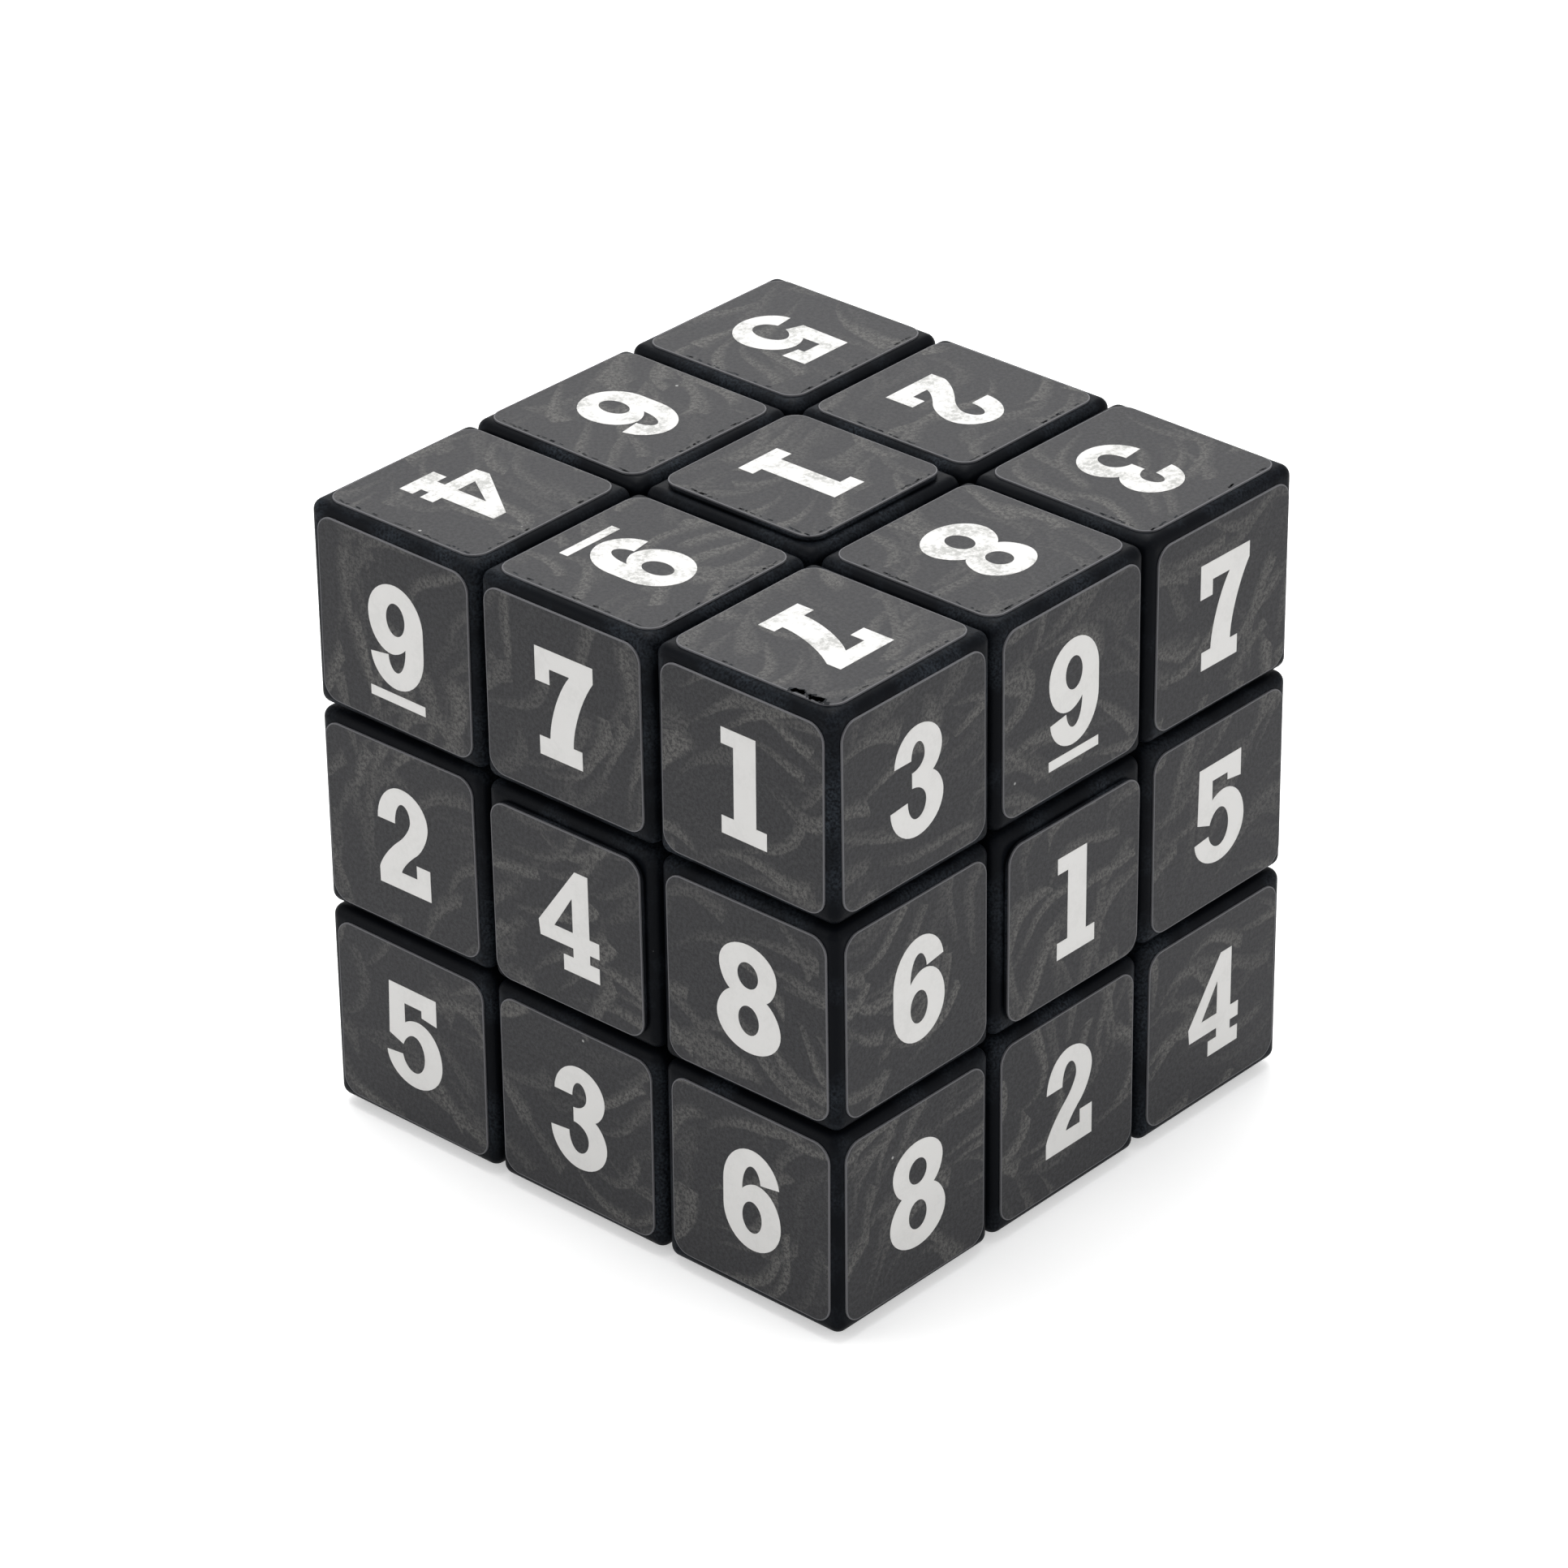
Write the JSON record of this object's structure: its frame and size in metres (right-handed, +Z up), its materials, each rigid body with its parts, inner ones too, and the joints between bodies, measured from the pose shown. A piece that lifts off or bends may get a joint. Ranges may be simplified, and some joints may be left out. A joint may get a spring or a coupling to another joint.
{
  "type": "sudoku cube",
  "caption": "Turning cube puzzle with a numeral on each outer facet: layers turn about a screwed, spring-loaded core to bring every digit onto each face.",
  "frame": {"origin": "below the middle of the cube, on the plane that it stands on (the cap of the bottom centre)", "axes": "+Z up through the top face, front face towards -Y, right face towards +X"},
  "size_m": [0.0582, 0.0582, 0.0582],
  "materials": {
    "black_plastic": "moulded satin ABS",
    "cap_plastic": "moulded satin ABS lid under the centre sticker",
    "core_plastic": "plain moulded nylon",
    "screw_steel": "zinc-plated",
    "spring_steel": "drawn wire",
    "washer_steel": "stamped",
    "sticker_film": "charcoal chalk-effect vinyl film",
    "numeral_ink": "off-white screen print"
  },
  "bodies": {
    "core": {"core": "core_plastic", "screw_top": "screw_steel", "screw_bottom": "screw_steel", "screw_front": "screw_steel", "screw_back": "screw_steel", "screw_right": "screw_steel", "screw_left": "screw_steel", "spring_top": "spring_steel", "spring_bottom": "spring_steel", "spring_front": "spring_steel", "spring_back": "spring_steel", "spring_right": "spring_steel", "spring_left": "spring_steel", "washer_top": "washer_steel", "washer_bottom": "washer_steel", "washer_front": "washer_steel", "washer_back": "washer_steel", "washer_right": "washer_steel", "washer_left": "washer_steel"},
    "centre_top": {"centre_top": "black_plastic", "cap_top": "cap_plastic"},
    "centre_bottom": {"centre_bottom": "black_plastic", "cap_bottom": "cap_plastic"},
    "centre_front": {"centre_front": "black_plastic", "cap_front": "cap_plastic"},
    "centre_back": {"centre_back": "black_plastic", "cap_back": "cap_plastic"},
    "centre_right": {"centre_right": "black_plastic", "cap_right": "cap_plastic"},
    "centre_left": {"centre_left": "black_plastic", "cap_left": "cap_plastic"},
    "edge_top_front": {"edge_top_front": "black_plastic"},
    "edge_top_back": {"edge_top_back": "black_plastic"},
    "edge_bottom_front": {"edge_bottom_front": "black_plastic"},
    "edge_bottom_back": {"edge_bottom_back": "black_plastic"},
    "edge_front_right": {"edge_front_right": "black_plastic"},
    "edge_front_left": {"edge_front_left": "black_plastic"},
    "edge_back_right": {"edge_back_right": "black_plastic"},
    "edge_back_left": {"edge_back_left": "black_plastic"},
    "edge_top_right": {"edge_top_right": "black_plastic"},
    "edge_top_left": {"edge_top_left": "black_plastic"},
    "edge_bottom_right": {"edge_bottom_right": "black_plastic"},
    "edge_bottom_left": {"edge_bottom_left": "black_plastic"},
    "corner_top_front_right": {"corner_top_front_right": "black_plastic", "corner_foot_top_front_right": "black_plastic"},
    "corner_top_front_left": {"corner_top_front_left": "black_plastic", "corner_foot_top_front_left": "black_plastic"},
    "corner_top_back_right": {"corner_top_back_right": "black_plastic", "corner_foot_top_back_right": "black_plastic"},
    "corner_top_back_left": {"corner_top_back_left": "black_plastic", "corner_foot_top_back_left": "black_plastic"},
    "corner_bottom_front_right": {"corner_bottom_front_right": "black_plastic", "corner_foot_bottom_front_right": "black_plastic"},
    "corner_bottom_front_left": {"corner_bottom_front_left": "black_plastic", "corner_foot_bottom_front_left": "black_plastic"},
    "corner_bottom_back_right": {"corner_bottom_back_right": "black_plastic", "corner_foot_bottom_back_right": "black_plastic"},
    "corner_bottom_back_left": {"corner_bottom_back_left": "black_plastic", "corner_foot_bottom_back_left": "black_plastic"}
  },
  "joints": [
    {"name": "top_turn", "type": "hinge", "parent": "core", "child": "centre_top", "pos_m": [0, 0, 0.0291], "axis": [0, 0, 1], "continuous": true},
    {"name": "bottom_turn", "type": "hinge", "parent": "core", "child": "centre_bottom", "pos_m": [0, 0, 0.0291], "axis": [0, 0, 1], "continuous": true},
    {"name": "front_turn", "type": "hinge", "parent": "core", "child": "centre_front", "pos_m": [0, 0, 0.0291], "axis": [0, 1, 0], "continuous": true},
    {"name": "back_turn", "type": "hinge", "parent": "core", "child": "centre_back", "pos_m": [0, 0, 0.0291], "axis": [0, 1, 0], "continuous": true},
    {"name": "right_turn", "type": "hinge", "parent": "core", "child": "centre_right", "pos_m": [0, 0, 0.0291], "axis": [1, 0, 0], "continuous": true},
    {"name": "left_turn", "type": "hinge", "parent": "core", "child": "centre_left", "pos_m": [0, 0, 0.0291], "axis": [1, 0, 0], "continuous": true},
    {"name": "edge_top_front_with_front", "type": "hinge", "parent": "centre_top", "child": "edge_top_front", "pos_m": [0, 0, 0.0291], "axis": [0, 1, 0], "continuous": true},
    {"name": "edge_top_back_with_back", "type": "hinge", "parent": "centre_top", "child": "edge_top_back", "pos_m": [0, 0, 0.0291], "axis": [0, 1, 0], "continuous": true},
    {"name": "edge_bottom_front_with_front", "type": "hinge", "parent": "centre_bottom", "child": "edge_bottom_front", "pos_m": [0, 0, 0.0291], "axis": [0, 1, 0], "continuous": true},
    {"name": "edge_bottom_back_with_back", "type": "hinge", "parent": "centre_bottom", "child": "edge_bottom_back", "pos_m": [0, 0, 0.0291], "axis": [0, 1, 0], "continuous": true},
    {"name": "edge_front_right_with_right", "type": "hinge", "parent": "centre_front", "child": "edge_front_right", "pos_m": [0, 0, 0.0291], "axis": [1, 0, 0], "continuous": true},
    {"name": "edge_front_left_with_left", "type": "hinge", "parent": "centre_front", "child": "edge_front_left", "pos_m": [0, 0, 0.0291], "axis": [1, 0, 0], "continuous": true},
    {"name": "edge_back_right_with_right", "type": "hinge", "parent": "centre_back", "child": "edge_back_right", "pos_m": [0, 0, 0.0291], "axis": [1, 0, 0], "continuous": true},
    {"name": "edge_back_left_with_left", "type": "hinge", "parent": "centre_back", "child": "edge_back_left", "pos_m": [0, 0, 0.0291], "axis": [1, 0, 0], "continuous": true},
    {"name": "edge_top_right_with_top", "type": "hinge", "parent": "centre_right", "child": "edge_top_right", "pos_m": [0, 0, 0.0291], "axis": [0, 0, 1], "continuous": true},
    {"name": "edge_top_left_with_top", "type": "hinge", "parent": "centre_left", "child": "edge_top_left", "pos_m": [0, 0, 0.0291], "axis": [0, 0, 1], "continuous": true},
    {"name": "edge_bottom_right_with_bottom", "type": "hinge", "parent": "centre_right", "child": "edge_bottom_right", "pos_m": [0, 0, 0.0291], "axis": [0, 0, 1], "continuous": true},
    {"name": "edge_bottom_left_with_bottom", "type": "hinge", "parent": "centre_left", "child": "edge_bottom_left", "pos_m": [0, 0, 0.0291], "axis": [0, 0, 1], "continuous": true},
    {"name": "corner_top_front_right_with_right", "type": "hinge", "parent": "edge_top_front", "child": "corner_top_front_right", "pos_m": [0, 0, 0.0291], "axis": [1, 0, 0], "continuous": true},
    {"name": "corner_top_front_left_with_left", "type": "hinge", "parent": "edge_top_front", "child": "corner_top_front_left", "pos_m": [0, 0, 0.0291], "axis": [1, 0, 0], "continuous": true},
    {"name": "corner_top_back_right_with_right", "type": "hinge", "parent": "edge_top_back", "child": "corner_top_back_right", "pos_m": [0, 0, 0.0291], "axis": [1, 0, 0], "continuous": true},
    {"name": "corner_top_back_left_with_left", "type": "hinge", "parent": "edge_top_back", "child": "corner_top_back_left", "pos_m": [0, 0, 0.0291], "axis": [1, 0, 0], "continuous": true},
    {"name": "corner_bottom_front_right_with_right", "type": "hinge", "parent": "edge_bottom_front", "child": "corner_bottom_front_right", "pos_m": [0, 0, 0.0291], "axis": [1, 0, 0], "continuous": true},
    {"name": "corner_bottom_front_left_with_left", "type": "hinge", "parent": "edge_bottom_front", "child": "corner_bottom_front_left", "pos_m": [0, 0, 0.0291], "axis": [1, 0, 0], "continuous": true},
    {"name": "corner_bottom_back_right_with_right", "type": "hinge", "parent": "edge_bottom_back", "child": "corner_bottom_back_right", "pos_m": [0, 0, 0.0291], "axis": [1, 0, 0], "continuous": true},
    {"name": "corner_bottom_back_left_with_left", "type": "hinge", "parent": "edge_bottom_back", "child": "corner_bottom_back_left", "pos_m": [0, 0, 0.0291], "axis": [1, 0, 0], "continuous": true}
  ],
  "couplings": [
    {"joint": "edge_top_front_with_front", "follows": "front_turn", "ratio": 1},
    {"joint": "edge_top_back_with_back", "follows": "back_turn", "ratio": 1},
    {"joint": "edge_bottom_front_with_front", "follows": "front_turn", "ratio": 1},
    {"joint": "edge_bottom_back_with_back", "follows": "back_turn", "ratio": 1},
    {"joint": "edge_front_right_with_right", "follows": "right_turn", "ratio": 1},
    {"joint": "edge_front_left_with_left", "follows": "left_turn", "ratio": 1},
    {"joint": "edge_back_right_with_right", "follows": "right_turn", "ratio": 1},
    {"joint": "edge_back_left_with_left", "follows": "left_turn", "ratio": 1},
    {"joint": "edge_top_right_with_top", "follows": "top_turn", "ratio": 1},
    {"joint": "edge_top_left_with_top", "follows": "top_turn", "ratio": 1},
    {"joint": "edge_bottom_right_with_bottom", "follows": "bottom_turn", "ratio": 1},
    {"joint": "edge_bottom_left_with_bottom", "follows": "bottom_turn", "ratio": 1},
    {"joint": "corner_top_front_right_with_right", "follows": "right_turn", "ratio": 1},
    {"joint": "corner_top_front_left_with_left", "follows": "left_turn", "ratio": 1},
    {"joint": "corner_top_back_right_with_right", "follows": "right_turn", "ratio": 1},
    {"joint": "corner_top_back_left_with_left", "follows": "left_turn", "ratio": 1},
    {"joint": "corner_bottom_front_right_with_right", "follows": "right_turn", "ratio": 1},
    {"joint": "corner_bottom_front_left_with_left", "follows": "left_turn", "ratio": 1},
    {"joint": "corner_bottom_back_right_with_right", "follows": "right_turn", "ratio": 1},
    {"joint": "corner_bottom_back_left_with_left", "follows": "left_turn", "ratio": 1}
  ]
}
